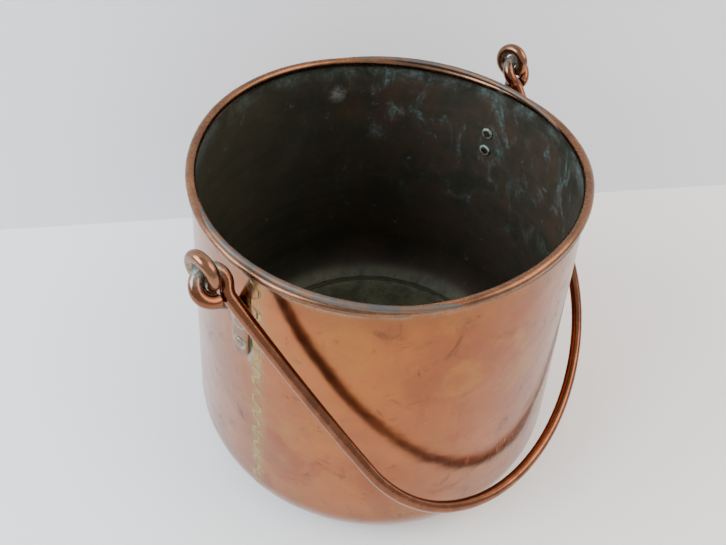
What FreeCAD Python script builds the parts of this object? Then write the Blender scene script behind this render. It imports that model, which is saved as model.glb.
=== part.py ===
import FreeCAD, Part
import math
import os

# A hand-made copper cauldron: a tall pot, wider below, with a rolled rim, two forged ears
# riveted outside the rim, and a swing bail whose curled ends are linked through the ears.
# Millimetres. The origin is the centre of the flat base and +Z is up. The ears stand on
# the X axis, and the bail hangs down on the -Y side.

# Pot
RIM_RADIUS = 145.5          # axis of the pot to the centre of the rolled rim
RIM_HEIGHT = 296.5          # floor to the centre of the rolled rim
ROLL_RADIUS = 3.65          # outside of the sheet rolled over the wire
WIRE_RADIUS = 2.4           # iron wire inside the roll
SHEET = 1.6                 # copper sheet of the wall and the base
WALL_TOP_RADIUS = 145.9     # outer face of the wall, at the height of the rim
WALL_FOOT_RADIUS = 177.7    # the same face carried straight down to the floor
CORNER_RADIUS = 47.0        # outside of the round corner between wall and base

# Seams, both filled with brass
BASE_SEAM_ANGLE = 66.0      # how far round the corner the base plate is let in, degrees
BASE_SEAM_WIDTH = 3.0
SIDE_SEAM_AZIMUTH = 184.3   # degrees from +X
SIDE_SEAM_WIDTH = 2.4
SIDE_SEAM_REACH = 3.2       # half the width of the dovetail teeth
SIDE_SEAM_PITCH = 21.0      # height of one pair of teeth
SIDE_SEAM_TOP_GAP = 7.0     # from the centre of the rim down to the top of the seam

# Ears
EYE_X = 173.0               # plane of each ear's eye
EYE_SHIFT = 5.0             # the eyes stand this far towards +Y
FOOT_SHIFT = 2.0            # and the riveted feet this far
EYE_ABOVE_RIM = 9.5         # centre of the eye above the centre of the rim
EYE_RADIUS = 10.3           # centre line of the curl
EAR_ROD_RADIUS = 4.5
EYE_END_ANGLE = -48.0       # where the curl is cut off, degrees below the horizontal
NECK_BEND = 12.0            # bend between the neck and the curl
NECK_OFFSET_BEND = 14.0     # bends that carry the neck out round the rim
NECK_OFFSET_ANGLE = 50.0
FOOT_WIDTH = 16.0
FOOT_THICKNESS = 3.6
FOOT_INSET = 2.0            # drawn this far into the wall before it is trimmed to fit
NECK_ROOT = 5.0             # straight part of the neck where it meets the foot
FOOT_TOP_DROP = 28.0        # top of the flat foot below the centre of the rim
FOOT_END_DROP = 88.0        # end of the foot below the centre of the rim

# Rivets
RIVET_DROPS = {"upper": 54.2, "lower": 74.2}
RIVET_SHANK_RADIUS = 2.6
RIVET_OUTER_RADIUS = 4.6
RIVET_OUTER_HEIGHT = 1.8
RIVET_OUTER_TAPER = 1.6
RIVET_INNER_RADIUS = 5.6
RIVET_INNER_HEIGHT = 1.3
RIVET_INNER_TAPER = 0.8

# Bail
BAIL_ROD_RADIUS = 4.7
CURL_RADIUS = 10.3          # centre line of the curled end
CURL_END_ANGLE = 92.0       # where the curled end is cut off beside its own leg
CURL_NECK_BEND = 12.0       # reverse bend that sets the curl back over the leg's line
CURL_NECK_ANGLE = 41.0
BAIL_DROP_ANGLE = 51.3      # the bail's plane below the horizontal as it hangs
CROWN_RADIUS = 151.6        # middle of the grip
CROWN_ANGLE = 46.3
LEG_RADIUS = 2500.0         # the legs are almost straight
LEG_START_ANGLE = 80.3
LEG_END_ANGLE = 84.07

ORIGIN = FreeCAD.Vector(0, 0, 0)
UP = FreeCAD.Vector(0, 0, 1)
FULL_TURN = 360.0
HALF_TURN = 180.0

wall_slope = (WALL_FOOT_RADIUS - WALL_TOP_RADIUS) / RIM_HEIGHT
wall_lean = math.degrees(math.atan(wall_slope))
eye_height = RIM_HEIGHT + EYE_ABOVE_RIM


def vec(x, y, z):
    return FreeCAD.Vector(x, y, z)


def cos_deg(angle):
    return math.cos(math.radians(angle))


def sin_deg(angle):
    return math.sin(math.radians(angle))


def arc_about(place, centre, radius, start, end):
    """An arc in a plane. place(a, b) turns the plane's two coordinates into a point."""
    ends = []
    for angle in (start, (start + end) / 2, end):
        ends.append(place(centre[0] + radius * cos_deg(angle), centre[1] + radius * sin_deg(angle)))
    return Part.Arc(ends[0], ends[1], ends[2]).toShape()


def rod_along(edges, radius):
    """A round rod along a chain of tangent edges."""
    first = edges[0]
    start = first.valueAt(first.FirstParameter)
    section = Part.Wire(Part.makeCircle(radius, start, first.tangentAt(first.FirstParameter)))
    return Part.Wire(edges).makePipeShell([section], True, False)


def revolved(face):
    return face.revolve(ORIGIN, UP, FULL_TURN)


# The wall's section is worked out in the plane y = 0, as radius and height.

def outer_wall_point(height):
    return WALL_FOOT_RADIUS - wall_slope * height, height


corner_centre_radius = (WALL_FOOT_RADIUS - wall_slope * CORNER_RADIUS
                        - CORNER_RADIUS / cos_deg(wall_lean))


def corner_point(depth, angle):
    """A point of the round corner. depth is into the sheet, angle is down from level."""
    radius = CORNER_RADIUS - depth
    across = corner_centre_radius + radius * cos_deg(angle)
    return vec(across, 0, CORNER_RADIUS - radius * sin_deg(angle))


def corner_arc(depth, start, end):
    middle = corner_point(depth, (start + end) / 2)
    return Part.Arc(corner_point(depth, start), middle, corner_point(depth, end)).toShape()


def line(start, end):
    return Part.makeLine(start, end)


def wall_section():
    """The sheet from the base seam, round the corner and up into the rolled rim."""
    half_seam = math.degrees(BASE_SEAM_WIDTH / 2 / CORNER_RADIUS)
    low = BASE_SEAM_ANGLE - half_seam
    top_radius, top = outer_wall_point(RIM_HEIGHT - ROLL_RADIUS / 2)
    outer_top = vec(top_radius, 0, top)
    inner_top = outer_top - vec(cos_deg(wall_lean), 0, sin_deg(wall_lean)) * SHEET
    edges = [
        corner_arc(0, low, -wall_lean),
        line(corner_point(0, -wall_lean), outer_top),
        line(outer_top, inner_top),
        line(inner_top, corner_point(SHEET, -wall_lean)),
        corner_arc(SHEET, -wall_lean, low),
        line(corner_point(SHEET, low), corner_point(0, low)),
    ]
    sheet = Part.Face(Part.Wire(edges))
    centre = vec(RIM_RADIUS, 0, RIM_HEIGHT)
    across = vec(0, 1, 0)
    roll = Part.Face(Part.Wire(Part.makeCircle(ROLL_RADIUS, centre, across)))
    hollow = Part.Face(Part.Wire(Part.makeCircle(WIRE_RADIUS, centre, across)))
    return sheet.fuse(roll).cut(hollow).removeSplitter().Faces[0]


def ring_section(start, end):
    """A piece of the corner's sheet between two angles."""
    return Part.Face(Part.Wire([
        corner_arc(0, start, end),
        line(corner_point(0, end), corner_point(SHEET, end)),
        corner_arc(SHEET, end, start),
        line(corner_point(SHEET, start), corner_point(0, start)),
    ]))


def make_wall_blank():
    return revolved(wall_section())


def make_rim_wire():
    return Part.makeTorus(RIM_RADIUS, WIRE_RADIUS, vec(0, 0, RIM_HEIGHT), UP)


def make_base_plate():
    half_seam = math.degrees(BASE_SEAM_WIDTH / 2 / CORNER_RADIUS)
    start = BASE_SEAM_ANGLE + half_seam
    section = Part.Face(Part.Wire([
        corner_arc(0, start, 90),
        line(corner_point(0, 90), ORIGIN),
        line(ORIGIN, vec(0, 0, SHEET)),
        line(vec(0, 0, SHEET), corner_point(SHEET, 90)),
        corner_arc(SHEET, 90, start),
        line(corner_point(SHEET, start), corner_point(0, start)),
    ]))
    return revolved(section)


def make_base_seam_braze():
    half_seam = math.degrees(BASE_SEAM_WIDTH / 2 / CORNER_RADIUS)
    return revolved(ring_section(BASE_SEAM_ANGLE - half_seam, BASE_SEAM_ANGLE + half_seam))


def side_seam_tool():
    """A zigzag band, taken straight out through the wall where the seam runs."""
    top = RIM_HEIGHT - SIDE_SEAM_TOP_GAP
    step = SIDE_SEAM_PITCH / 4
    teeth_foot = CORNER_RADIUS / 2
    below_floor = -5.0
    line_points = [(0.0, below_floor), (0.0, teeth_foot)]
    height = teeth_foot
    side = 1
    while height + 2 * step < top:
        line_points.append((side * SIDE_SEAM_REACH, height + step))
        line_points.append((side * SIDE_SEAM_REACH, height + 2 * step))
        height = height + 2 * step
        side = -side
    line_points.append((side * SIDE_SEAM_REACH, top))
    half = SIDE_SEAM_WIDTH / 2
    near = WALL_TOP_RADIUS / 3
    left = [vec(near, across - half, up) for across, up in line_points]
    right = [vec(near, across + half, up) for across, up in reversed(line_points)]
    outline = left + right + left[:1]
    tool = Part.Face(Part.makePolygon(outline)).extrude(vec(WALL_FOOT_RADIUS, 0, 0))
    tool.rotate(ORIGIN, UP, SIDE_SEAM_AZIMUTH)
    return tool


def pot_core():
    """Everything inside the outer face of the wall, as one block."""
    top_radius, top = outer_wall_point(RIM_HEIGHT)
    section = Part.Face(Part.Wire([
        line(ORIGIN, corner_point(0, 90)),
        corner_arc(0, 90, -wall_lean),
        line(corner_point(0, -wall_lean), vec(top_radius, 0, top)),
        line(vec(top_radius, 0, top), vec(0, 0, top)),
        line(vec(0, 0, top), ORIGIN),
    ]))
    return revolved(section)


def wall_frame_place(shape):
    """Leans a piece drawn upright on the wall's outer face at the rim so that it lies on it."""
    hinge = vec(WALL_TOP_RADIUS, 0, RIM_HEIGHT)
    shape.rotate(hinge, vec(0, -1, 0), wall_lean)
    return shape


def make_foot(core):
    """The flat riveted end of an ear, on the +X side, with a rounded tip."""
    width = FOOT_WIDTH / 2
    end = RIM_HEIGHT - FOOT_END_DROP
    top = RIM_HEIGHT - FOOT_TOP_DROP
    depth = FOOT_THICKNESS + FOOT_INSET
    plate = Part.makeBox(depth, FOOT_WIDTH, top - end - width,
                         vec(WALL_TOP_RADIUS - FOOT_INSET, FOOT_SHIFT - width, end + width))
    start = vec(WALL_TOP_RADIUS - FOOT_INSET, FOOT_SHIFT, end + width)
    tip = Part.makeCylinder(width, depth, start, vec(1, 0, 0))
    shoulder = Part.makeCylinder(width, depth, start + UP * (top - end - width), vec(1, 0, 0))
    foot = plate.fuse([tip, shoulder]).removeSplitter()
    foot = wall_frame_place(foot)
    return foot.cut(core)


def neck_and_eye():
    """The round part of an ear on the +X side: up, out round the rim, and into the curl."""
    def upright(across, up):
        return vec(across, FOOT_SHIFT, up)

    def in_eye_plane(across, up):
        return vec(EYE_X, EYE_SHIFT - across, up)

    bend_centre = EYE_SHIFT - FOOT_SHIFT - NECK_BEND
    turn = math.degrees(math.acos(-bend_centre / (NECK_BEND + EYE_RADIUS)))
    neck_top = eye_height - (NECK_BEND + EYE_RADIUS) * sin_deg(turn)
    start_x = WALL_TOP_RADIUS + EAR_ROD_RADIUS + wall_slope * FOOT_TOP_DROP
    bends = 2 * NECK_OFFSET_BEND * (1 - cos_deg(NECK_OFFSET_ANGLE))
    run = (EYE_X - start_x - bends) / sin_deg(NECK_OFFSET_ANGLE)
    rise = 2 * NECK_OFFSET_BEND * sin_deg(NECK_OFFSET_ANGLE) + run * cos_deg(NECK_OFFSET_ANGLE)
    bend_foot = neck_top - rise
    start = upright(start_x, bend_foot - NECK_ROOT)
    first = arc_about(upright, (start_x + NECK_OFFSET_BEND, bend_foot), NECK_OFFSET_BEND,
                      180, 180 - NECK_OFFSET_ANGLE)
    second = arc_about(upright, (EYE_X - NECK_OFFSET_BEND, neck_top), NECK_OFFSET_BEND,
                       -NECK_OFFSET_ANGLE, 0)
    first_end = first.valueAt(first.LastParameter)
    second_start = second.valueAt(second.FirstParameter)
    reverse = arc_about(in_eye_plane, (bend_centre, neck_top), NECK_BEND, 0, turn)
    curl = arc_about(in_eye_plane, (0, eye_height), EYE_RADIUS, 180 + turn, EYE_END_ANGLE)
    edges = [
        line(start, upright(start_x, bend_foot)),
        first,
        line(first_end, second_start),
        second,
        reverse,
        curl,
    ]
    return rod_along(edges, EAR_ROD_RADIUS)


def make_ear(core):
    ear = neck_and_eye().fuse(make_foot(core)).cut(core)
    return ear.removeSplitter().Solids[0]


def rivet_axis_point(drop, out):
    """A point on a rivet's axis on the +X side. out is from the outer face of the wall."""
    lean = vec(cos_deg(wall_lean), 0, sin_deg(wall_lean))
    across, up = outer_wall_point(RIM_HEIGHT - drop)
    return vec(across, FOOT_SHIFT, up) + lean * out, lean


def make_rivet(drop):
    """A shank with a broad flat head inside the pot and a hammered end over the foot."""
    inner_face = -SHEET
    outer_face = FOOT_THICKNESS
    inner_point, lean = rivet_axis_point(drop, inner_face - RIVET_INNER_HEIGHT)
    outer_point = rivet_axis_point(drop, outer_face)[0]
    length = RIVET_INNER_HEIGHT + SHEET + FOOT_THICKNESS
    shank = Part.makeCylinder(RIVET_SHANK_RADIUS, length, inner_point, lean)
    inner_head = Part.makeCone(RIVET_INNER_RADIUS - RIVET_INNER_TAPER, RIVET_INNER_RADIUS,
                               RIVET_INNER_HEIGHT, inner_point, lean)
    outer_head = Part.makeCone(RIVET_OUTER_RADIUS, RIVET_OUTER_RADIUS - RIVET_OUTER_TAPER,
                               RIVET_OUTER_HEIGHT, outer_point, lean)
    return shank.fuse([inner_head, outer_head]).removeSplitter()


def rivet_hole(drop):
    start, lean = rivet_axis_point(drop, -2 * SHEET)
    return Part.makeCylinder(RIVET_SHANK_RADIUS, 4 * SHEET + FOOT_THICKNESS, start, lean)


def make_bail():
    """The bail, drawn in its own plane, which drops away from the pivot line on the -Y side.

    In that plane the first coordinate is along the pivot line and the second is the
    distance from it. The middle of the grip, the shoulders and the legs are tangent arcs,
    and each leg ends in a short reverse bend and a curl turned outwards.
    """
    pivot = vec(0, EYE_SHIFT, eye_height)
    drop = vec(0, -cos_deg(BAIL_DROP_ANGLE), -sin_deg(BAIL_DROP_ANGLE))
    flare = 90 - LEG_END_ANGLE
    curl_start = flare - CURL_NECK_ANGLE
    reach = CURL_RADIUS + CURL_NECK_BEND
    neck_centre = (EYE_X - reach * cos_deg(curl_start), CURL_RADIUS - reach * sin_deg(curl_start))
    leg_end = (neck_centre[0] + CURL_NECK_BEND * cos_deg(flare),
               neck_centre[1] + CURL_NECK_BEND * sin_deg(flare))
    crown_across = CROWN_RADIUS * sin_deg(CROWN_ANGLE)
    leg_across = LEG_RADIUS * (sin_deg(LEG_END_ANGLE) - sin_deg(LEG_START_ANGLE))
    shoulder_radius = ((leg_end[0] - crown_across - leg_across)
                       / (sin_deg(LEG_START_ANGLE) - sin_deg(CROWN_ANGLE)))
    leg_centre = (leg_end[0] - LEG_RADIUS * sin_deg(LEG_END_ANGLE),
                  leg_end[1] - LEG_RADIUS * cos_deg(LEG_END_ANGLE))
    step = LEG_RADIUS - shoulder_radius
    shoulder_centre = (leg_centre[0] + step * sin_deg(LEG_START_ANGLE),
                       leg_centre[1] + step * cos_deg(LEG_START_ANGLE))
    step = CROWN_RADIUS - shoulder_radius
    crown_centre = (0, shoulder_centre[1] - step * cos_deg(CROWN_ANGLE))
    arcs = [
        ((EYE_X, CURL_RADIUS), CURL_RADIUS, CURL_END_ANGLE + FULL_TURN, HALF_TURN + curl_start),
        (neck_centre, CURL_NECK_BEND, curl_start, flare),
        (leg_centre, LEG_RADIUS, flare, 90 - LEG_START_ANGLE),
        (shoulder_centre, shoulder_radius, 90 - LEG_START_ANGLE, 90 - CROWN_ANGLE),
        (crown_centre, CROWN_RADIUS, 90 - CROWN_ANGLE, 90),
    ]

    def right(across, down):
        return pivot + vec(across, 0, 0) + drop * down

    def left(across, down):
        return pivot - vec(across, 0, 0) + drop * down

    edges = []
    for centre, radius, start, end in arcs:
        edges.append(arc_about(right, centre, radius, start, end))
    for centre, radius, start, end in reversed(arcs):
        edges.append(arc_about(left, centre, radius, end, start))
    return rod_along(edges, BAIL_ROD_RADIUS)


def to_left(shape):
    """The same piece on the -X side, as its mirror image."""
    return shape.mirror(ORIGIN, vec(1, 0, 0))


def make_pot():
    """The wall with its side seam and rivet holes, and the brass that fills the seam."""
    blank = make_wall_blank()
    tool = side_seam_tool()
    side_seam = blank.common(tool)
    holes = []
    for drop in RIVET_DROPS.values():
        hole = rivet_hole(drop)
        holes.append(hole)
        holes.append(to_left(hole))
    wall = blank.cut([tool] + holes)
    return wall, side_seam.cut(holes)


def make_parts():
    core = pot_core()
    wall, side_seam = make_pot()
    ear = make_ear(core)
    ear = ear.cut([rivet_hole(drop) for drop in RIVET_DROPS.values()])
    parts = {
        "body_wall": wall,
        "side_seam_braze": side_seam,
        "base_seam_braze": make_base_seam_braze(),
        "base_plate": make_base_plate(),
        "rim_wire": make_rim_wire(),
        "right_ear": ear,
        "left_ear": to_left(ear),
        "bail_handle": make_bail(),
    }
    for place, drop in RIVET_DROPS.items():
        rivet = make_rivet(drop).cut(wall)
        parts["right_ear_" + place + "_rivet"] = rivet
        parts["left_ear_" + place + "_rivet"] = to_left(rivet)
    return parts


os.makedirs("parts", exist_ok=True)
for name, shape in make_parts().items():
    shape.exportStep("parts/" + name + ".step")
    print(name, "solids", len(shape.Solids), "valid", shape.isValid(), "volume", round(shape.Volume))
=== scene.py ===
import math

import bpy
import numpy as np
from mathutils import Matrix, Vector, noise


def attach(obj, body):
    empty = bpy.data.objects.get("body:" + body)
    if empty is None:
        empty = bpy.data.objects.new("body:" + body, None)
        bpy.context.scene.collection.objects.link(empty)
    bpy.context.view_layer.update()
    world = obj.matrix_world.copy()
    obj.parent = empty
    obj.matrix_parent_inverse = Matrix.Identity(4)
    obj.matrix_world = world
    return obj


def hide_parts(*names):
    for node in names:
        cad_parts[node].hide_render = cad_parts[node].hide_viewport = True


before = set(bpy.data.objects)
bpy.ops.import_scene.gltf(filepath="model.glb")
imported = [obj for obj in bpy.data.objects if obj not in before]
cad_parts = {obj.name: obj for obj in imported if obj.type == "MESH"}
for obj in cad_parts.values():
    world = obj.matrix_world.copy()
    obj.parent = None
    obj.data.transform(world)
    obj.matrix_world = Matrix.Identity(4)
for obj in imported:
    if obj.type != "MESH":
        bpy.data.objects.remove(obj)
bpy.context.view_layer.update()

# A hand-made copper cauldron. Metres, with the origin at the centre of the base, +Z up,
# the ears on the X axis and the bail hanging on the -Y side.

MM = 0.001

# Pot, as in the CAD model
RIM_RADIUS = 145.5 * MM
RIM_HEIGHT = 296.5 * MM
ROLL_RADIUS = 3.65 * MM
SHEET = 1.6 * MM
WALL_TOP_RADIUS = 145.9 * MM
WALL_FOOT_RADIUS = 177.7 * MM
CORNER_RADIUS = 47.0 * MM
BASE_SEAM_ANGLE = 66.0
BASE_SEAM_HALF_ANGLE = 1.83
SIDE_SEAM_AZIMUTH = 184.3
WALL_SLOPE = (WALL_FOOT_RADIUS - WALL_TOP_RADIUS) / RIM_HEIGHT
WALL_LEAN = math.degrees(math.atan(WALL_SLOPE))
CORNER_CENTRE = (WALL_FOOT_RADIUS - WALL_SLOPE * CORNER_RADIUS
                 - CORNER_RADIUS / math.cos(math.radians(WALL_LEAN)))

# Hand-made unevenness of the pot
RIM_SADDLE = 4.4 * MM       # the rim dips at the ears and rises between them
RIM_SADDLE_TURN = 16.0
RIM_OVAL = 1.4 * MM
RIM_OVAL_TURN = -18.0
HAMMER_DENT = 0.32 * MM
HAMMER_FADE = 12 * MM       # the dents start over this height above the base

# Ears and bail
EYE_X = 173.0 * MM
EYE_SHIFT = 5.0 * MM
FOOT_SHIFT = 2.0 * MM
EYE_HEIGHT = RIM_HEIGHT + 9.5 * MM
EYE_RADIUS = 10.3 * MM
EAR_ROD = 4.5 * MM
EYE_END_ANGLE = -48.0
NECK_BEND = 12.0 * MM
NECK_OFFSET_BEND = 14.0 * MM
NECK_OFFSET_ANGLE = 50.0
FOOT_WIDTH = 16.0 * MM
FOOT_THICKNESS = 3.6 * MM
FOOT_TOP_DROP = 28.0 * MM
FOOT_END_DROP = 88.0 * MM
RIVET_DROPS = {"upper": 54.2 * MM, "lower": 74.2 * MM}
BAIL_ROD = 4.7 * MM
CURL_RADIUS = 10.3 * MM
CURL_END_ANGLE = 92.0
CURL_NECK_BEND = 12.0 * MM
CURL_NECK_ANGLE = 41.0
BAIL_DROP_ANGLE = 51.3
CROWN_RADIUS = 151.6 * MM
CROWN_ANGLE = 46.3
LEG_RADIUS = 2500.0 * MM
LEG_START_ANGLE = 80.3
LEG_END_ANGLE = 84.07


def cos_deg(angle):
    return math.cos(math.radians(angle))


def sin_deg(angle):
    return math.sin(math.radians(angle))


# ---------------------------------------------------------------- camera, lights, floor

def add_camera():
    """The view from above and to one side of the left ear."""
    place = Vector((-0.32026, -0.23729, 0.60200))
    forward = Vector((0.52839, 0.42454, -0.73523)).normalized()
    right = Vector((0.65847, -0.75158, 0.03924)).normalized()
    up = right.cross(forward)
    turn = Matrix((right, up, -forward)).transposed().to_4x4()
    data = bpy.data.cameras.new("camera")
    data.lens = 32.73
    data.sensor_width = 36.0
    data.clip_end = 50.0
    camera = bpy.data.objects.new("camera", data)
    camera.matrix_world = Matrix.Translation(place) @ turn
    bpy.context.scene.collection.objects.link(camera)
    bpy.context.scene.camera = camera


def add_area_light(name, place, target, size, power, colour):
    data = bpy.data.lights.new(name, "AREA")
    data.shape = "RECTANGLE"
    data.size = size[0]
    data.size_y = size[1]
    data.energy = power
    data.color = colour
    light = bpy.data.objects.new(name, data)
    light.location = place
    light.rotation_euler = (Vector(target) - Vector(place)).to_track_quat("-Z", "Y").to_euler()
    bpy.context.scene.collection.objects.link(light)


def make_world():
    world = bpy.data.worlds.new("soft_room")
    world.use_nodes = True
    background = world.node_tree.nodes["Background"]
    background.inputs["Color"].default_value = (0.80, 0.86, 0.93, 1)
    background.inputs["Strength"].default_value = 1.02
    bpy.context.scene.world = world


def flat_quad(name, corners, material):
    mesh = bpy.data.meshes.new(name)
    mesh.from_pydata(corners, [], [(0, 1, 2, 3)])
    mesh.materials.append(material)
    piece = bpy.data.objects.new(name, mesh)
    bpy.context.scene.collection.objects.link(piece)


def painted(name, colour, roughness):
    material = bpy.data.materials.new(name)
    material.use_nodes = True
    shader = material.node_tree.nodes["Principled BSDF"]
    shader.inputs["Base Color"].default_value = (*colour, 1)
    shader.inputs["Roughness"].default_value = roughness
    return material


def add_stage():
    """A white table top, with a pale wall close behind the pot."""
    table_reach = 2.0
    wall_reach = 3.0
    wall_distance = 0.277
    rise = Vector((0, 0, 2))
    corners = []
    for x, y in ((-1, -1), (1, -1), (1, 1), (-1, 1)):
        corners.append((x * table_reach, y * table_reach, 0))
    flat_quad("floor", corners, painted("floor_paint", (0.93, 0.92, 0.90), 0.6))
    away = Vector((0.656, 0.755, 0)).normalized()
    side = Vector((0.755, -0.656, 0)).normalized()
    left = away * wall_distance - side * wall_reach
    right = away * wall_distance + side * wall_reach
    flat_quad("backdrop", [left, right, right + rise, left + rise],
              painted("wall_paint", (0.86, 0.87, 0.90), 0.8))


def add_lights():
    """Cool window light from the far left, and warmer room light from the near right."""
    add_area_light("window", place=(-1.6, 0.9, 1.5), target=(0, 0, 0.2), size=(1.6, 1.3),
                   power=74, colour=(0.80, 0.90, 1.0))
    add_area_light("room", place=(0.9, -1.5, 1.7), target=(0, 0, 0.15), size=(1.6, 1.6),
                   power=40, colour=(1.0, 0.80, 0.62))


# ---------------------------------------------------------------- node material helpers

class Nodes:
    """Short calls for building a material's node tree."""

    def __init__(self, name):
        self.material = bpy.data.materials.new(name)
        self.material.use_nodes = True
        self.tree = self.material.node_tree
        self.shader = self.tree.nodes["Principled BSDF"]
        self.place = self.add("ShaderNodeTexCoord").outputs["Object"]

    def add(self, kind, **values):
        node = self.tree.nodes.new(kind)
        for name, value in values.items():
            setattr(node, name, value)
        return node

    def link(self, source, target):
        self.tree.links.new(source, target)

    def noise(self, scale, detail=4.0, rough=0.55, stretch=None, offset=(0, 0, 0), warp=0.0):
        """Noise from 0 to 1 with features about 1/scale metres across."""
        mapping = self.add("ShaderNodeMapping")
        mapping.inputs["Location"].default_value = offset
        if stretch is not None:
            mapping.inputs["Scale"].default_value = stretch
        self.link(self.place, mapping.inputs["Vector"])
        node = self.add("ShaderNodeTexNoise")
        node.inputs["Scale"].default_value = scale
        node.inputs["Detail"].default_value = detail
        node.inputs["Roughness"].default_value = rough
        node.inputs["Distortion"].default_value = warp
        self.link(mapping.outputs["Vector"], node.inputs["Vector"])
        return node.outputs["Fac"]

    def step(self, value, low, high):
        """A smooth rise from 0 at low to 1 at high."""
        node = self.add("ShaderNodeMapRange", interpolation_type="SMOOTHSTEP")
        node.inputs["From Min"].default_value = low
        node.inputs["From Max"].default_value = high
        self.link(value, node.inputs["Value"])
        return node.outputs["Result"]

    def spread(self, value, low, high):
        """A straight line from low to high as the value goes from 0 to 1."""
        node = self.add("ShaderNodeMapRange")
        node.inputs["To Min"].default_value = low
        node.inputs["To Max"].default_value = high
        self.link(value, node.inputs["Value"])
        return node.outputs["Result"]

    def maths(self, operation, first, second):
        node = self.add("ShaderNodeMath", operation=operation)
        for socket, value in zip(node.inputs, (first, second)):
            if isinstance(value, (int, float)):
                socket.default_value = value
            else:
                self.link(value, socket)
        return node.outputs["Value"]

    def times(self, first, second):
        return self.maths("MULTIPLY", first, second)

    def plus(self, first, second):
        return self.maths("ADD", first, second)

    def most(self, first, second):
        return self.maths("MAXIMUM", first, second)

    def mix(self, factor, first, second):
        node = self.add("ShaderNodeMix", data_type="RGBA")
        self.link(factor, node.inputs["Factor"])
        for socket, value in ((node.inputs[6], first), (node.inputs[7], second)):
            if isinstance(value, tuple):
                socket.default_value = (*value, 1)
            else:
                self.link(value, socket)
        return node.outputs[2]

    def attribute(self, name):
        return self.add("ShaderNodeAttribute", attribute_name=name).outputs["Fac"]

    def axis(self, letter):
        """The place along X, Y or Z, in metres."""
        node = self.add("ShaderNodeSeparateXYZ")
        self.link(self.place, node.inputs["Vector"])
        return node.outputs[letter]

    def bump(self, height, distance, strength=1.0, below=None):
        node = self.add("ShaderNodeBump")
        node.inputs["Distance"].default_value = distance
        node.inputs["Strength"].default_value = strength
        self.link(height, node.inputs["Height"])
        if below is not None:
            self.link(below, node.inputs["Normal"])
        return node.outputs["Normal"]

    def finish(self, colour, roughness, metallic, normal):
        self.link(colour, self.shader.inputs["Base Color"])
        self.link(roughness, self.shader.inputs["Roughness"])
        if isinstance(metallic, float):
            self.shader.inputs["Metallic"].default_value = metallic
        else:
            self.link(metallic, self.shader.inputs["Metallic"])
        self.link(normal, self.shader.inputs["Normal"])
        return self.material


# ---------------------------------------------------------------- materials

def pot_outside_copper():
    """Rubbed copper: warm orange brown, with redder, browner and greyish mauve tarnish."""
    n = Nodes("pot_outside_copper")
    x = n.axis("X")
    z = n.axis("Z")
    cloud = n.noise(9, 5, 0.6, warp=0.6)
    blotch = n.noise(24, 5, 0.62, offset=(3, 1, 2), warp=0.8)
    fine = n.noise(190, 3, 0.6, offset=(1, 4, 2))
    mottle = n.noise(70, 4, 0.65, offset=(5, 1, 7), warp=0.4)
    colour = n.mix(n.step(cloud, 0.36, 0.64), (0.33, 0.112, 0.040), (0.24, 0.080, 0.034))
    golden = n.times(n.step(blotch, 0.48, 0.66), n.spread(cloud, 0.3, 1.0))
    colour = n.mix(golden, colour, (0.31, 0.130, 0.036))
    red = n.times(n.step(n.noise(17, 4, 0.6, offset=(6, 6, 1), warp=0.7), 0.52, 0.66), 0.7)
    colour = n.mix(red, colour, (0.24, 0.066, 0.026))
    mauve = n.step(n.noise(13, 4, 0.6, offset=(8, 2, 5), warp=0.5), 0.48, 0.64)
    mauve = n.times(mauve, n.step(x, -0.12, 0.12))
    colour = n.mix(n.times(mauve, n.spread(mottle, 0.3, 0.8)), colour, (0.18, 0.088, 0.060))
    stain = n.times(n.step(n.noise(34, 6, 0.7, offset=(2, 9, 4), warp=1.2), 0.55, 0.70), 0.7)
    colour = n.mix(stain, colour, (0.12, 0.048, 0.024))
    low = n.step(z, 0.085, 0.02)
    colour = n.mix(n.times(low, 0.55), colour, (0.19, 0.092, 0.052))
    under_rim = n.times(n.step(z, 0.262, 0.291), n.spread(mottle, 0.2, 1.0))
    colour = n.mix(n.times(under_rim, 0.55), colour, (0.15, 0.080, 0.036))
    ragged = n.step(n.noise(60, 5, 0.7, offset=(4, 1, 8)), 0.34, 0.60)
    halo = n.times(n.attribute("seam_stain"), ragged)
    colour = n.mix(n.times(halo, 0.85), colour, (0.27, 0.22, 0.085))
    green = n.times(n.attribute("verdigris"), n.step(blotch, 0.36, 0.54))
    colour = n.mix(green, colour, (0.20, 0.31, 0.25))
    roughness = n.plus(n.spread(mottle, 0.12, 0.27), n.times(stain, 0.12))
    roughness = n.plus(roughness, n.times(n.most(green, n.times(halo, 0.4)), 0.35))
    scratch = n.noise(420, 2, 0.5, stretch=(1, 1, 0.06), offset=(2, 2, 2))
    roughness = n.plus(roughness, n.times(n.step(scratch, 0.58, 0.75), 0.08))
    metallic = n.spread(n.most(green, n.times(halo, 0.35)), 1.0, 0.25)
    dents = n.bump(n.noise(42, 2, 0.4, offset=(4, 4, 4)), 0.0009, 0.5)
    normal = n.bump(n.plus(n.times(fine, 0.5), scratch), 0.00005, 0.4, below=dents)
    return n.finish(colour, roughness, metallic, normal)


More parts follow.
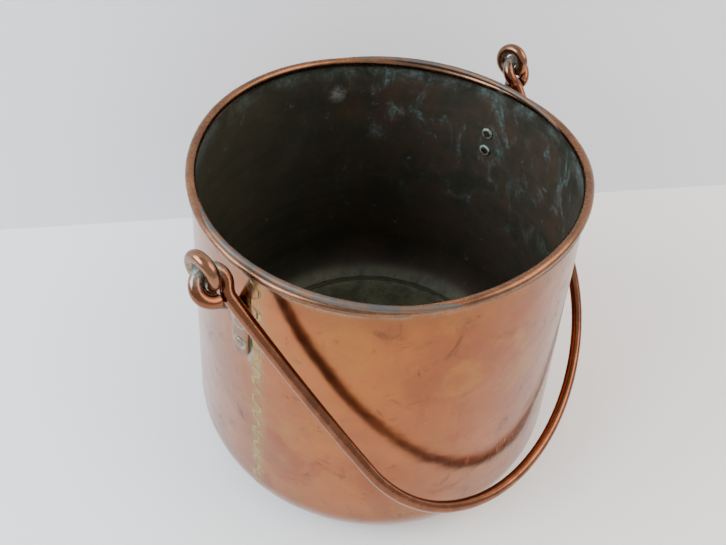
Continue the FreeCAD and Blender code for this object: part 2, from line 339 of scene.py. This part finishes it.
def rim_copper():
    """The rolled rim: browner than the wall, rubbed bright in places, stained olive below."""
    n = Nodes("rim_copper")
    blotch = n.noise(45, 5, 0.62, offset=(3, 1, 2), warp=0.6)
    fine = n.noise(240, 4, 0.65, offset=(1, 4, 2))
    colour = n.mix(n.step(blotch, 0.36, 0.64), (0.21, 0.100, 0.052), (0.15, 0.074, 0.042))
    rubbed = n.step(n.noise(16, 4, 0.6, offset=(9, 3, 1), warp=0.6), 0.52, 0.68)
    colour = n.mix(n.times(rubbed, 0.8), colour, (0.30, 0.125, 0.058))
    grime = n.times(n.step(fine, 0.50, 0.68), 0.55)
    colour = n.mix(grime, colour, (0.13, 0.075, 0.045))
    green = n.times(n.attribute("verdigris"), n.step(blotch, 0.36, 0.56))
    colour = n.mix(green, colour, (0.095, 0.085, 0.048))
    roughness = n.plus(n.spread(fine, 0.18, 0.38), n.times(green, 0.3))
    metallic = n.spread(green, 1.0, 0.3)
    dents = n.bump(n.noise(60, 2, 0.4, offset=(4, 4, 4)), 0.0006, 0.5)
    normal = n.bump(fine, 0.00008, 0.5, below=dents)
    return n.finish(colour, roughness, metallic, normal)


def pot_inside_copper():
    """Old unpolished copper: dark olive brown, redder at one side, with blue-green streaks."""
    n = Nodes("pot_inside_copper")
    x = n.axis("X")
    z = n.axis("Z")
    cloud = n.noise(11, 5, 0.62, warp=0.8)
    blotch = n.noise(28, 6, 0.68, offset=(3, 3, 1), warp=0.4)
    speck = n.noise(260, 4, 0.7, offset=(6, 2, 1))
    bands = n.noise(16, 3, 0.6, stretch=(0.4, 0.4, 5), offset=(2, 7, 1), warp=0.2)
    colour = n.mix(n.step(cloud, 0.35, 0.65), (0.046, 0.050, 0.036), (0.070, 0.066, 0.045))
    colour = n.mix(n.times(n.step(bands, 0.45, 0.65), 0.35), colour, (0.030, 0.030, 0.024))
    right = n.step(x, 0.03, 0.125)
    red = n.times(n.step(blotch, 0.30, 0.72), right)
    colour = n.mix(n.times(red, 0.75), colour, (0.115, 0.066, 0.042))
    streaks = n.noise(34, 6, 0.72, stretch=(1, 1, 0.5), offset=(1, 7, 3), warp=1.2)
    high = n.step(z, 0.08, 0.24)
    reach = n.times(n.spread(right, 0.10, 0.8), n.spread(high, 0.1, 1.0))
    green = n.times(n.step(streaks, 0.52, 0.72), reach)
    under_rim = n.times(n.step(z, 0.270, 0.292), n.step(blotch, 0.38, 0.62))
    green = n.most(green, n.times(under_rim, n.spread(right, 0.45, 0.75)))
    green_colour = n.mix(n.step(speck, 0.38, 0.66), (0.050, 0.085, 0.072), (0.17, 0.25, 0.24))
    colour = n.mix(green, colour, green_colour)
    patch = n.times(n.attribute("pale_patch"), n.step(speck, 0.34, 0.58))
    colour = n.mix(patch, colour, (0.30, 0.33, 0.32))
    floor = n.step(z, 0.020, 0.004)
    olive = n.mix(n.step(blotch, 0.38, 0.62), (0.12, 0.122, 0.068), (0.25, 0.25, 0.145))
    colour = n.mix(n.times(floor, 0.9), colour, olive)
    dirt = n.times(n.step(speck, 0.54, 0.66), floor)
    colour = n.mix(n.times(dirt, 0.6), colour, (0.045, 0.045, 0.032))
    pale = n.times(n.step(n.noise(60, 3, 0.6, offset=(9, 9, 2)), 0.66, 0.72), n.step(speck, 0.45, 0.60))
    colour = n.mix(n.times(pale, 0.45), colour, (0.28, 0.33, 0.32))
    roughness = n.plus(n.spread(blotch, 0.40, 0.60), n.times(green, 0.2))
    metallic = n.spread(n.most(green, floor), 0.45, 0.05)
    dents = n.bump(n.plus(n.noise(48, 2, 0.4, offset=(4, 4, 4)), n.times(bands, 0.5)), 0.0010, 0.6)
    normal = n.bump(n.plus(blotch, n.times(speck, 0.5)), 0.00020, 0.5, below=dents)
    return n.finish(colour, roughness, metallic, normal)


def dark_rod_copper(name, light, dark, smoothest, green_amount):
    """Handled brown copper, darker in patches, with verdigris where the hand does not reach."""
    n = Nodes(name)
    cloud = n.noise(38, 5, 0.62, warp=0.6)
    blotch = n.noise(150, 5, 0.65, offset=(3, 1, 5), warp=0.6)
    fine = n.noise(600, 3, 0.6, offset=(7, 3, 1))
    colour = n.mix(n.step(cloud, 0.36, 0.64), light, dark)
    warm = tuple(min(1.0, part * 1.35) for part in light)
    colour = n.mix(n.times(n.step(blotch, 0.52, 0.68), 0.45), colour, warm)
    rub = n.times(n.attribute("verdigris"), green_amount)
    green = n.times(rub, n.step(n.noise(210, 5, 0.7, offset=(2, 5, 8), warp=0.7), 0.36, 0.56))
    tone = n.mix(n.step(fine, 0.35, 0.65), (0.13, 0.21, 0.17), (0.34, 0.46, 0.41))
    colour = n.mix(green, colour, tone)
    roughness = n.plus(n.spread(blotch, smoothest, smoothest + 0.12), n.times(green, 0.4))
    metallic = n.spread(green, 1.0, 0.15)
    forged = n.bump(cloud, 0.0008, 0.45)
    normal = n.bump(n.plus(blotch, n.times(fine, 0.4)), 0.00012, 0.5, below=forged)
    return n.finish(colour, roughness, metallic, normal)


def seam_brass():
    """Yellow brass filler, dull and dark on the inner side."""
    n = Nodes("seam_brass")
    blotch = n.noise(120, 5, 0.65, warp=0.5)
    colour = n.mix(n.step(blotch, 0.38, 0.64), (0.36, 0.27, 0.09), (0.26, 0.17, 0.065))
    inside = n.attribute("inside")
    colour = n.mix(inside, colour, (0.085, 0.085, 0.055))
    roughness = n.plus(n.spread(blotch, 0.25, 0.42), n.times(inside, 0.2))
    normal = n.bump(blotch, 0.0002, 0.4)
    return n.finish(colour, roughness, n.spread(inside, 1.0, 0.3), normal)


def iron_wire():
    """Dull iron with brown rust."""
    n = Nodes("iron_wire")
    blotch = n.noise(90, 5, 0.6)
    colour = n.mix(n.step(blotch, 0.4, 0.6), (0.12, 0.11, 0.10), (0.20, 0.12, 0.08))
    roughness = n.spread(blotch, 0.45, 0.7)
    return n.finish(colour, roughness, 1.0, n.bump(blotch, 0.0002, 0.4))


# ---------------------------------------------------------------- mesh helpers

def new_piece(name, points, faces, materials, indices=None, marks=None):
    """A smooth mesh object. Each mark is a value from 0 to 1 for every point."""
    mesh = bpy.data.meshes.new(name)
    mesh.from_pydata([tuple(point) for point in points], [], faces)
    for material in materials:
        mesh.materials.append(material)
    if indices is not None:
        mesh.polygons.foreach_set("material_index", indices)
    for mark, values in (marks or {}).items():
        layer = mesh.attributes.new(mark, "FLOAT", "POINT")
        layer.data.foreach_set("value", np.asarray(values, dtype=np.float32))
    mesh.polygons.foreach_set("use_smooth", [True] * len(faces))
    mesh.update()
    piece = bpy.data.objects.new(name, mesh)
    bpy.context.scene.collection.objects.link(piece)
    return piece


def adopt(piece, body, slot, *nodes):
    """Puts a piece on its body, in place of the CAD nodes that it stands for."""
    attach(piece, body)
    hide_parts(*nodes)


def dent(x, y, z, scale, seed):
    """Smooth noise from about -1 to 1, with features about 1/scale metres across."""
    return noise.noise(Vector((x * scale + seed, y * scale - seed, z * scale + 2 * seed)))


def uneven(radius, angle, height):
    """A point of the pot's sheet, moved as the hammer and years of use left it."""
    rise = max(0.0, height / RIM_HEIGHT)
    oval = RIM_OVAL * rise ** 2 * math.cos(2 * (angle - math.radians(RIM_OVAL_TURN)))
    saddle = -RIM_SADDLE * rise ** 4 * math.cos(2 * (angle - math.radians(RIM_SADDLE_TURN)))
    x = radius * math.cos(angle)
    y = radius * math.sin(angle)
    fade = min(1.0, max(0.0, height / HAMMER_FADE))
    broad = dent(x, y, height, 22, 1.7)
    small = dent(x, y, height, 55, 4.1)
    hammer = HAMMER_DENT * fade * (broad + 0.35 * small)
    radius = radius + oval + hammer
    return Vector((radius * math.cos(angle), radius * math.sin(angle), height + saddle))


def corner_profile(depth, start, end, count):
    """Points of the round corner; the angle is measured down from the level."""
    radius = CORNER_RADIUS - depth
    points = []
    for i in range(count + 1):
        angle = start + (end - start) * i / count
        points.append((CORNER_CENTRE + radius * cos_deg(angle),
                       CORNER_RADIUS - radius * sin_deg(angle)))
    return points


def wall_line(depth, low, high, count):
    """Points up the wall's straight side, from one height to another."""
    points = []
    for i in range(count + 1):
        height = low + (high - low) * i / count
        across = WALL_FOOT_RADIUS - WALL_SLOPE * height
        points.append((across - depth * cos_deg(WALL_LEAN), height - depth * sin_deg(WALL_LEAN)))
    return points


def roll_profile(start, end, count):
    """Points round the rolled rim; the angle is measured up from the level."""
    points = []
    for i in range(count + 1):
        angle = start + (end - start) * i / count
        points.append((RIM_RADIUS + ROLL_RADIUS * cos_deg(angle),
                       RIM_HEIGHT + ROLL_RADIUS * sin_deg(angle)))
    return points


def lathe(profile, turns):
    """Turns a closed profile of (radius, height) about the pot's axis, made uneven."""
    points = []
    faces = []
    rows = len(profile)
    for k in range(turns):
        angle = 2 * math.pi * k / turns
        for radius, height in profile:
            points.append(uneven(radius, angle, height))
    for k in range(turns):
        first = k * rows
        second = ((k + 1) % turns) * rows
        for i in range(rows):
            j = (i + 1) % rows
            faces.append((first + i, second + i, second + j, first + j))
    return points, faces


# ---------------------------------------------------------------- pot

WALL_TURNS = 384            # steps round the pot
BASE_TURNS = 192
CORNER_STEPS = 22           # steps along each stretch of a profile
WALL_STEPS = 64
ROLL_STEPS = 28
PLATE_RINGS = 15
PLATE_EDGE_STEPS = 8
BASE_SEAM_STEPS = 4
SEAM_CORNER_STEPS = 24
SEAM_WALL_STEPS = 260
AXIS_GAP = 0.1 * MM         # radius of the small hole left at the middle of the base plate

ROLL_START_ANGLE = -68
ROLL_END_ANGLE = 246
STAINED_DROP = 4.0 * MM     # the green line under the rolled rim, and its half height
STAINED_BAND = 2.6 * MM
EAR_SIDE = 0.93             # cosine of the angle within which an ear stains the wall
SEAM_STAIN = 9 * MM         # half width of the stain along the side seam
PATCH_TURN = 58.0           # a pale worn patch inside the pot
PATCH_HEIGHT = 262 * MM
PATCH_RADIUS = 9 * MM

BASE_SEAM_PROUD = 0.1 * MM
SIDE_SEAM_PROUD = 0.12 * MM
SIDE_SEAM_HALF_WIDTH = 1.6 * MM
SIDE_SEAM_PITCH = 21.0 * MM
SIDE_SEAM_REACH = 3.0 * MM
SIDE_SEAM_TOP_DROP = 7 * MM


def verdigris_on_wall(radius, height, turn):
    """Green under the rolled rim, and along both edges of the ears' feet."""
    near_ear = max(0.0, abs(cos_deg(turn)) - EAR_SIDE) / (1 - EAR_SIDE)
    under = max(0.0, 1 - abs(height - (RIM_HEIGHT - STAINED_DROP)) / STAINED_BAND)
    across = radius * sin_deg(turn)
    foot_edge = max(0.0, 1 - abs(abs(across - FOOT_SHIFT) - FOOT_WIDTH / 2) / (4 * MM))
    beside_foot = 1.0 if height > RIM_HEIGHT - FOOT_END_DROP - 3 * MM else 0.0
    green = under * (0.35 + 0.65 * near_ear) + foot_edge * beside_foot * near_ear * 0.8
    return min(1.0, green)


def seam_stain_on_wall(radius, height, turn):
    """The yellow stain that wanders along the side seam."""
    from_seam = radius * math.radians(turn - SIDE_SEAM_AZIMUTH)
    drift = 3 * MM * dent(0, 0, height, 40, 3.1)
    return max(0.0, 1 - abs(from_seam - drift) / SEAM_STAIN)


def pale_patch_on_wall(radius, height, turn):
    from_patch = math.hypot(radius * math.radians(turn - PATCH_TURN), height - PATCH_HEIGHT)
    return max(0.0, 1 - from_patch / PATCH_RADIUS) ** 0.5


def build_wall(outside, rim, inside):
    """The wall sheet, from the base seam up and over the rolled rim and down inside."""
    seam = BASE_SEAM_ANGLE - BASE_SEAM_HALF_ANGLE
    low = CORNER_RADIUS + CORNER_RADIUS * sin_deg(WALL_LEAN) + 2 * MM
    top = RIM_HEIGHT - ROLL_RADIUS + 0.35 * MM
    crease = 1.0 * MM
    inner_drop = 0.8 * MM
    outer = corner_profile(0, seam, -WALL_LEAN, CORNER_STEPS)
    outer += wall_line(0, low, top - crease, WALL_STEPS)
    outer.append((WALL_TOP_RADIUS + 0.1 * MM, top + 0.3 * MM))
    roll = roll_profile(ROLL_START_ANGLE, ROLL_END_ANGLE, ROLL_STEPS)
    inner = wall_line(SHEET, top - inner_drop, low, WALL_STEPS)
    inner += corner_profile(SHEET, -WALL_LEAN, seam, CORNER_STEPS)
    profile = outer + roll + inner
    points, faces = lathe(profile, WALL_TURNS)
    column = [0] * (len(outer) - 1) + [1] * (len(roll) + 1) + [2] * len(inner)
    marks = {"verdigris": [], "seam_stain": [], "pale_patch": []}
    for k in range(WALL_TURNS):
        turn = 360 * k / WALL_TURNS
        for radius, height in profile:
            marks["verdigris"].append(verdigris_on_wall(radius, height, turn))
            marks["seam_stain"].append(seam_stain_on_wall(radius, height, turn))
            marks["pale_patch"].append(pale_patch_on_wall(radius, height, turn))
    piece = new_piece("body_wall_sheet", points, faces, [outside, rim, inside],
                      column * WALL_TURNS, marks)
    adopt(piece, "pot", "pot_copper", "body_wall")


def build_base(outside, inside):
    """The base plate, let into the round corner."""
    seam = BASE_SEAM_ANGLE + BASE_SEAM_HALF_ANGLE
    rings = [CORNER_CENTRE * i / PLATE_RINGS for i in range(1, PLATE_RINGS)]
    top = [(radius, SHEET) for radius in [AXIS_GAP] + rings]
    top += corner_profile(SHEET, 90, seam, PLATE_EDGE_STEPS)
    bottom = corner_profile(0, seam, 90, PLATE_EDGE_STEPS)
    bottom += [(radius, 0.0) for radius in rings[::-1] + [AXIS_GAP]]
    points, faces = lathe(top + bottom, BASE_TURNS)
    column = [1] * len(top) + [0] * len(bottom)
    piece = new_piece("base_plate_sheet", points, faces, [outside, inside], column * BASE_TURNS)
    adopt(piece, "pot", "pot_copper", "base_plate")


def build_base_seam(brass):
    """The ring of brass between the wall and the base plate."""
    low = BASE_SEAM_ANGLE - BASE_SEAM_HALF_ANGLE
    high = BASE_SEAM_ANGLE + BASE_SEAM_HALF_ANGLE
    outer = corner_profile(-BASE_SEAM_PROUD, high, low, BASE_SEAM_STEPS)
    inner = corner_profile(SHEET + BASE_SEAM_PROUD, low, high, BASE_SEAM_STEPS)
    points, faces = lathe(outer + inner, BASE_TURNS)
    within = ([0.0] * len(outer) + [1.0] * len(inner)) * BASE_TURNS
    piece = new_piece("base_seam_brass", points, faces, [brass], None, {"inside": within})
    adopt(piece, "pot", "seam_brass", "base_seam_braze")


def seam_shift(height):
    """Sideways shift of the zigzag side seam at a height."""
    start = CORNER_RADIUS / 2
    if height < start:
        return 0.0
    phase = ((height - start) / SIDE_SEAM_PITCH) % 1.0
    wave = 1.8 * math.sin(2 * math.pi * phase)
    reach = SIDE_SEAM_REACH * (1 + 0.6 * dent(0, 0, height, 60, 2.2))
    return reach * max(-1.0, min(1.0, wave))


def build_side_seam(brass):
    """The brass in the side seam: a narrow zigzag strip right through the sheet."""
    seam = BASE_SEAM_ANGLE - BASE_SEAM_HALF_ANGLE
    outline = corner_profile(0, seam, -WALL_LEAN, SEAM_CORNER_STEPS)
    low = outline[-1][1] + 1 * MM
    outline += wall_line(0, low, RIM_HEIGHT - SIDE_SEAM_TOP_DROP, SEAM_WALL_STEPS)
    points = []
    faces = []
    for radius, height in outline:
        half = SIDE_SEAM_HALF_WIDTH * (1 + 0.8 * dent(0, 0, height, 130, 5.5))
        shift = seam_shift(height)
        for depth in (-SIDE_SEAM_PROUD, SHEET + SIDE_SEAM_PROUD):
            for side in (-half, half):
                across = radius - depth
                angle = math.radians(SIDE_SEAM_AZIMUTH) + (shift + side) / across
                points.append(uneven(across, angle, height))
    for i in range(len(outline) - 1):
        a = 4 * i
        b = a + 4
        faces.append((a, a + 1, b + 1, b))
        faces.append((a + 1, a + 3, b + 3, b + 1))
        faces.append((a + 3, a + 2, b + 2, b + 3))
        faces.append((a + 2, a, b, b + 2))
    faces.append((0, 2, 3, 1))
    end = 4 * (len(outline) - 1)
    faces.append((end, end + 1, end + 3, end + 2))
    within = [0.0, 0.0, 1.0, 1.0] * len(outline)
    piece = new_piece("side_seam_brass", points, faces, [brass], None, {"inside": within})
    adopt(piece, "pot", "seam_brass", "side_seam_braze")


# ---------------------------------------------------------------- rods

ROD_SIDES = 28
EDGE_LENGTH = 0.9 * MM      # the cut ends are drawn in over this length
EDGE_DRAW = 0.16
BAIL_WOBBLE = 0.015
EAR_WOBBLE = 0.03


def arc_points(place, centre, radius, start, end, step):
    """Points along an arc, about one step apart, without the last one."""
    length = abs(math.radians(end - start)) * radius
    count = max(2, round(length / step))
    points = []
    for i in range(count):
        angle = start + (end - start) * i / count
        points.append(place(centre[0] + radius * cos_deg(angle), centre[1] + radius * sin_deg(angle)))
    return points


def distances_along(path):
    """The distance along the path at each of its points."""
    distances = [0.0]
    for i in range(1, len(path)):
        distances.append(distances[-1] + (path[i] - path[i - 1]).length)
    return distances


def signed_power(value, power):
    return math.copysign(abs(value) ** power, value)


def sweep(name, path, section, material, wide_axis, verdigris_at):
    """A bar along a path.

    section(distance) gives half width, half thickness and squareness, where 2 is an ellipse
    and more is closer to a rectangle. wide_axis is the direction of the width at the start,
    and it is carried along the path without twist.
    """
    last = len(path) - 1
    points = []
    green = []
    wide = Vector(wide_axis)
    for i, distance in enumerate(distances_along(path)):
        ahead = path[min(i + 1, last)] - path[max(i - 1, 0)]
        ahead.normalize()
        wide = (wide - ahead * wide.dot(ahead)).normalized()
        thick = ahead.cross(wide)
        half_wide, half_thick, squareness = section(distance)
        power = 2.0 / squareness
        for k in range(ROD_SIDES):
            angle = 2 * math.pi * k / ROD_SIDES
            along_wide = half_wide * signed_power(math.cos(angle), power)
            along_thick = half_thick * signed_power(math.sin(angle), power)
            point = path[i] + wide * along_wide + thick * along_thick
            points.append(point)
            green.append(verdigris_at(point))
    faces = []
    for i in range(last):
        this = i * ROD_SIDES
        following = this + ROD_SIDES
        for k in range(ROD_SIDES):
            j = (k + 1) % ROD_SIDES
            faces.append((this + k, this + j, following + j, following + k))
    faces.append(tuple(range(ROD_SIDES - 1, -1, -1)))
    faces.append(tuple(range(last * ROD_SIDES, (last + 1) * ROD_SIDES)))
    return new_piece(name, points, faces, [material], None, {"verdigris": green})


def end_softening(distance, total):
    """Draws the last part of a cut rod in a little, so that its edge is not sharp."""
    near = min(distance, total - distance)
    if near >= EDGE_LENGTH:
        return 1.0
    return 1.0 - EDGE_DRAW * (1 - near / EDGE_LENGTH) ** 2


def bail_path():
    """The centre line of the bail, from one curled end to the other."""
    flare = 90 - LEG_END_ANGLE
    curl_start = flare - CURL_NECK_ANGLE
    reach = CURL_RADIUS + CURL_NECK_BEND
    neck_centre = (EYE_X - reach * cos_deg(curl_start), CURL_RADIUS - reach * sin_deg(curl_start))
    leg_end = (neck_centre[0] + CURL_NECK_BEND * cos_deg(flare),
               neck_centre[1] + CURL_NECK_BEND * sin_deg(flare))
    crown_across = CROWN_RADIUS * sin_deg(CROWN_ANGLE)
    leg_across = LEG_RADIUS * (sin_deg(LEG_END_ANGLE) - sin_deg(LEG_START_ANGLE))
    shoulder_radius = ((leg_end[0] - crown_across - leg_across)
                       / (sin_deg(LEG_START_ANGLE) - sin_deg(CROWN_ANGLE)))
    leg_centre = (leg_end[0] - LEG_RADIUS * sin_deg(LEG_END_ANGLE),
                  leg_end[1] - LEG_RADIUS * cos_deg(LEG_END_ANGLE))
    leg_to_shoulder = LEG_RADIUS - shoulder_radius
    shoulder_centre = (leg_centre[0] + leg_to_shoulder * sin_deg(LEG_START_ANGLE),
                       leg_centre[1] + leg_to_shoulder * cos_deg(LEG_START_ANGLE))
    shoulder_to_crown = CROWN_RADIUS - shoulder_radius
    crown_centre = (0, shoulder_centre[1] - shoulder_to_crown * cos_deg(CROWN_ANGLE))
    short_step = 0.9 * MM
    long_step = 2.5 * MM
    arcs = [
        ((EYE_X, CURL_RADIUS), CURL_RADIUS, CURL_END_ANGLE + 360, 180 + curl_start, short_step),
        (neck_centre, CURL_NECK_BEND, curl_start, flare, short_step),
        (leg_centre, LEG_RADIUS, flare, 90 - LEG_START_ANGLE, long_step),
        (shoulder_centre, shoulder_radius, 90 - LEG_START_ANGLE, 90 - CROWN_ANGLE, long_step),
        (crown_centre, CROWN_RADIUS, 90 - CROWN_ANGLE, 90, long_step),
    ]
    pivot = Vector((0, EYE_SHIFT, EYE_HEIGHT))
    drop = Vector((0, -cos_deg(BAIL_DROP_ANGLE), -sin_deg(BAIL_DROP_ANGLE)))

    def place(across, down):
        return pivot + Vector((across, 0, 0)) + drop * down

    half = []
    for arc in arcs:
        half += arc_points(place, *arc)
    middle = place(0, crown_centre[1] + CROWN_RADIUS)
    other = [Vector((-point.x, point.y, point.z)) for point in reversed(half)]
    return half + [middle] + other


def build_bail(copper):
    """One round rod from curl to curl, a little uneven in thickness."""
    path = bail_path()
    total = distances_along(path)[-1]
    thickest = 1.01 * BAIL_ROD
    green_reach = 15 * MM

    def section(distance):
        wobble = 1 + BAIL_WOBBLE * noise.noise(Vector((distance * 60, 3.3, 1.1)))
        radius = min(BAIL_ROD * wobble * end_softening(distance, total), thickest)
        return radius, radius, 2.0

    def green(point):
        eye = Vector((math.copysign(EYE_X, point.x), EYE_SHIFT, EYE_HEIGHT))
        return max(0.0, 1 - (point - eye).length / green_reach)

    piece = sweep("bail_rod", path, section, copper, (0, 0.7, 0.7), green)
    adopt(piece, "bail", "bail_copper", "bail_handle")


def smooth_rise(value, low, high):
    part = min(1.0, max(0.0, (value - low) / (high - low)))
    return part * part * (3 - 2 * part)


def ear_path():
    """Centre line of the right ear: up the foot, out round the rim and into the curl."""
    def upright(across, up):
        return Vector((across, FOOT_SHIFT, up))

    def in_eye_plane(across, up):
        return Vector((EYE_X, EYE_SHIFT - across, up))

    step = 1.0 * MM
    foot_steps = 56
    bend_centre = EYE_SHIFT - FOOT_SHIFT - NECK_BEND
    turn = math.degrees(math.acos(-bend_centre / (NECK_BEND + EYE_RADIUS)))
    neck_top = EYE_HEIGHT - (NECK_BEND + EYE_RADIUS) * sin_deg(turn)
    start_x = WALL_TOP_RADIUS + EAR_ROD + WALL_SLOPE * FOOT_TOP_DROP
    bends = 2 * NECK_OFFSET_BEND * (1 - cos_deg(NECK_OFFSET_ANGLE))
    run = (EYE_X - start_x - bends) / sin_deg(NECK_OFFSET_ANGLE)
    rise = 2 * NECK_OFFSET_BEND * sin_deg(NECK_OFFSET_ANGLE) + run * cos_deg(NECK_OFFSET_ANGLE)
    bend_foot = neck_top - rise
    foot_end = RIM_HEIGHT - FOOT_END_DROP
    foot_out = FOOT_THICKNESS / 2
    points = []
    for i in range(foot_steps):
        height = foot_end + (bend_foot - 1 * MM - foot_end) * i / foot_steps
        blend = smooth_rise(height, bend_foot - 16 * MM, bend_foot)
        out = foot_out + (EAR_ROD - foot_out) * blend
        across = WALL_FOOT_RADIUS - WALL_SLOPE * height + out
        points.append(upright(across + (start_x - across) * blend ** 2, height))
    points += arc_points(upright, (start_x + NECK_OFFSET_BEND, bend_foot), NECK_OFFSET_BEND,
                         180, 180 - NECK_OFFSET_ANGLE, step)
    slant_x = start_x + NECK_OFFSET_BEND * (1 - cos_deg(NECK_OFFSET_ANGLE))
    slant_z = bend_foot + NECK_OFFSET_BEND * sin_deg(NECK_OFFSET_ANGLE)
    slant_steps = max(1, round(run / step))
    for i in range(slant_steps):
        along = run * i / slant_steps
        points.append(upright(slant_x + along * sin_deg(NECK_OFFSET_ANGLE),
                              slant_z + along * cos_deg(NECK_OFFSET_ANGLE)))
    points += arc_points(upright, (EYE_X - NECK_OFFSET_BEND, neck_top), NECK_OFFSET_BEND,
                         -NECK_OFFSET_ANGLE, 0, step)
    points += arc_points(in_eye_plane, (bend_centre, neck_top), NECK_BEND, 0, turn, step)
    points += arc_points(in_eye_plane, (0, EYE_HEIGHT), EYE_RADIUS, 180 + turn, EYE_END_ANGLE, step)
    points.append(in_eye_plane(EYE_RADIUS * cos_deg(EYE_END_ANGLE),
                               EYE_HEIGHT + EYE_RADIUS * sin_deg(EYE_END_ANGLE)))
    return points


def verdigris_on_ear(point, eye):
    """Green inside the curl, behind and on the neck, and in a ring round each rivet."""
    inner = max(0.0, 1 - abs((point - eye).length - EYE_RADIUS + EAR_ROD) / (5 * MM))
    gap = 9 * MM
    behind = max(0.0, (WALL_TOP_RADIUS + gap - abs(point.x)) / gap)
    neck = 0.4 if RIM_HEIGHT - 26 * MM < point.z < RIM_HEIGHT + 1 * MM else 0.05
    around = 0.0
    for drop in RIVET_DROPS.values():
        rivet = Vector((point.x, FOOT_SHIFT, RIM_HEIGHT - drop))
        around = max(around, 1 - abs((point - rivet).length - 5.0 * MM) / (2.0 * MM))
    return min(1.0, max(inner, behind * neck, neck * 0.7, around))


def build_ear(name, side, copper):
    """One ear, forged flat at the foot and round above it."""
    path = [Vector((side * point.x, point.y, point.z)) for point in ear_path()]
    total = distances_along(path)[-1]
    flat_length = FOOT_END_DROP - 38 * MM
    eye = Vector((side * EYE_X, EYE_SHIFT, EYE_HEIGHT))

    def section(distance):
        blend = smooth_rise(distance, flat_length - 12 * MM, flat_length + 8 * MM)
        tip = min(1.0, distance / (FOOT_WIDTH / 2))
        rounding = math.sqrt(max(0.02, 1 - (1 - tip) ** 2))
        wide = FOOT_WIDTH / 2 * rounding * (1 - blend) + EAR_ROD * blend
        thick = FOOT_THICKNESS / 2 * (1 - blend) + EAR_ROD * blend
        squareness = 5.0 * (1 - blend) + 2.0 * blend
        forge = 1 + EAR_WOBBLE * noise.noise(Vector((distance * 90, side, 2.7)))
        soft = end_softening(max(distance, 2 * MM), total)
        return wide * forge * soft, thick * soft, squareness

    def green(point):
        return verdigris_on_ear(point, eye)

    piece = sweep(name + "_forged", path, section, copper, (0, 1, 0), green)
    adopt(piece, "pot", "ear_copper", name)


# ---------------------------------------------------------------- rivets

RIVET_SIDES = 32
RIVET_TIP = 0.2 * MM        # radius of the flat end faces
RIVET_SHANK = 2.6 * MM
RIVET_HEAD_THICKNESS = 1.3 * MM
RIVET_GREEN_RADIUS = 4.3 * MM
RIVET_WOBBLE = 0.06


def rivet_profile():
    """Radius and distance out along the rivet, from the inner head to the outer end."""
    head = RIVET_HEAD_THICKNESS
    foot = FOOT_THICKNESS
    return [
        (RIVET_TIP, -SHEET - head),
        (3.0 * MM, -SHEET - head),
        (4.6 * MM, -SHEET - 0.95 * head),
        (5.4 * MM, -SHEET - 0.6 * head),
        (5.6 * MM, -SHEET - 0.1 * head),
        (5.6 * MM, -SHEET + 0.3 * MM),
        (RIVET_SHANK, -SHEET + 0.35 * MM),
        (RIVET_SHANK, foot - 0.3 * MM),
        (4.6 * MM, foot - 0.2 * MM),
        (4.5 * MM, foot + 0.5 * MM),
        (3.8 * MM, foot + 1.2 * MM),
        (2.4 * MM, foot + 1.65 * MM),
        (RIVET_TIP, foot + 1.75 * MM),
    ]


def build_rivet(name, side, drop, copper):
    """A rivet with a broad flat head inside the pot and a hammered end over the foot."""
    height = RIM_HEIGHT - drop
    out = Vector((side * cos_deg(WALL_LEAN), 0, sin_deg(WALL_LEAN)))
    centre = Vector((side * (WALL_FOOT_RADIUS - WALL_SLOPE * height), FOOT_SHIFT, height))
    across = Vector((0, 1, 0))
    above = out.cross(across)
    profile = rivet_profile()
    points = []
    green = []
    for k in range(RIVET_SIDES):
        angle = 2 * math.pi * k / RIVET_SIDES
        spoke = across * math.cos(angle) + above * math.sin(angle)
        wobble = 1 + RIVET_WOBBLE * noise.noise(spoke * 1.3 + Vector((drop * 300, side * 2, 0)))
        for radius, along in profile:
            points.append(centre + out * along + spoke * radius * wobble)
            green.append(1.0 if radius > RIVET_GREEN_RADIUS else 0.15)
    rows = len(profile)
    faces = []
    for k in range(RIVET_SIDES):
        j = (k + 1) % RIVET_SIDES
        for i in range(rows - 1):
            faces.append((k * rows + i, j * rows + i, j * rows + i + 1, k * rows + i + 1))
    faces.append(tuple(k * rows for k in range(RIVET_SIDES - 1, -1, -1)))
    faces.append(tuple(k * rows + rows - 1 for k in range(RIVET_SIDES)))
    if side < 0:
        faces = [tuple(reversed(face)) for face in faces]
    piece = new_piece(name + "_hammered", points, faces, [copper], None, {"verdigris": green})
    adopt(piece, "pot", "rivet_copper", name)


def build_everything():
    """Every piece with its material; the iron wire in the rim stays as the CAD made it."""
    outside = pot_outside_copper()
    inside = pot_inside_copper()
    brass = seam_brass()
    rod = dark_rod_copper("bail_copper_dark", light=(0.20, 0.076, 0.038),
                          dark=(0.14, 0.055, 0.029), smoothest=0.11, green_amount=1.0)
    forged = dark_rod_copper("ear_copper_brown", light=(0.23, 0.102, 0.052),
                             dark=(0.16, 0.074, 0.040), smoothest=0.15, green_amount=1.0)
    rivet = dark_rod_copper("rivet_copper_brown", light=(0.28, 0.135, 0.075),
                            dark=(0.19, 0.095, 0.055), smoothest=0.24, green_amount=0.9)
    build_wall(outside, rim_copper(), inside)
    build_base(outside, inside)
    build_base_seam(brass)
    build_side_seam(brass)
    build_bail(rod)
    for name, side in (("left_ear", -1), ("right_ear", 1)):
        build_ear(name, side, forged)
        for place, drop in RIVET_DROPS.items():
            build_rivet(name + "_" + place + "_rivet", side, drop, rivet)
    wire = bpy.data.objects["rim_wire"]
    wire.material_slots[0].material = iron_wire()


add_camera()
make_world()
add_stage()
add_lights()
build_everything()
